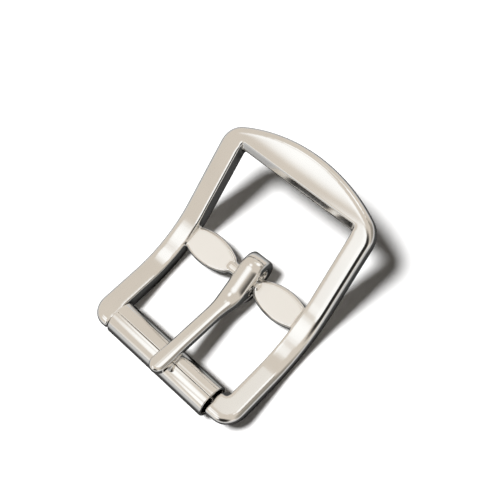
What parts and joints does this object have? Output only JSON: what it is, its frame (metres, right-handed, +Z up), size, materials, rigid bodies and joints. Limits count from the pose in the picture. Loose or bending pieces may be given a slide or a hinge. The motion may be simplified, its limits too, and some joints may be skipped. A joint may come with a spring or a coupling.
{
  "type": "roller buckle",
  "caption": "Bent centre-bar roller buckle for a strap, with crescent end bar, leaf-shaped strap bar, hinged prong and loose rolled tube roller.",
  "frame": {"origin": "middle of the bounding box on the table the buckle lies on", "axes": "+X along the strap bar, +Y towards the crescent bar, +Z up from the table"},
  "size_m": [0.034, 0.0458, 0.019],
  "materials": {
    "frame": "polished nickel plate, strap bar flats satin",
    "prong": "polished nickel plate",
    "roller": "polished nickel plate over sheet steel"
  },
  "bodies": {
    "frame": {"frame": "frame"},
    "prong": {"prong": "prong"},
    "roller": {"roller": "roller"}
  },
  "joints": [
    {"name": "prong_swing", "type": "hinge", "parent": "frame", "child": "prong", "pos_m": [0, 0.0012, 0.0033], "axis": [-1, 0, 0], "range_deg": [0, 124]},
    {"name": "roller_spin", "type": "hinge", "parent": "frame", "child": "roller", "pos_m": [-0.00072, -0.01923, 0.00343], "axis": [0.9994, -0.0349, 0], "continuous": true}
  ]
}
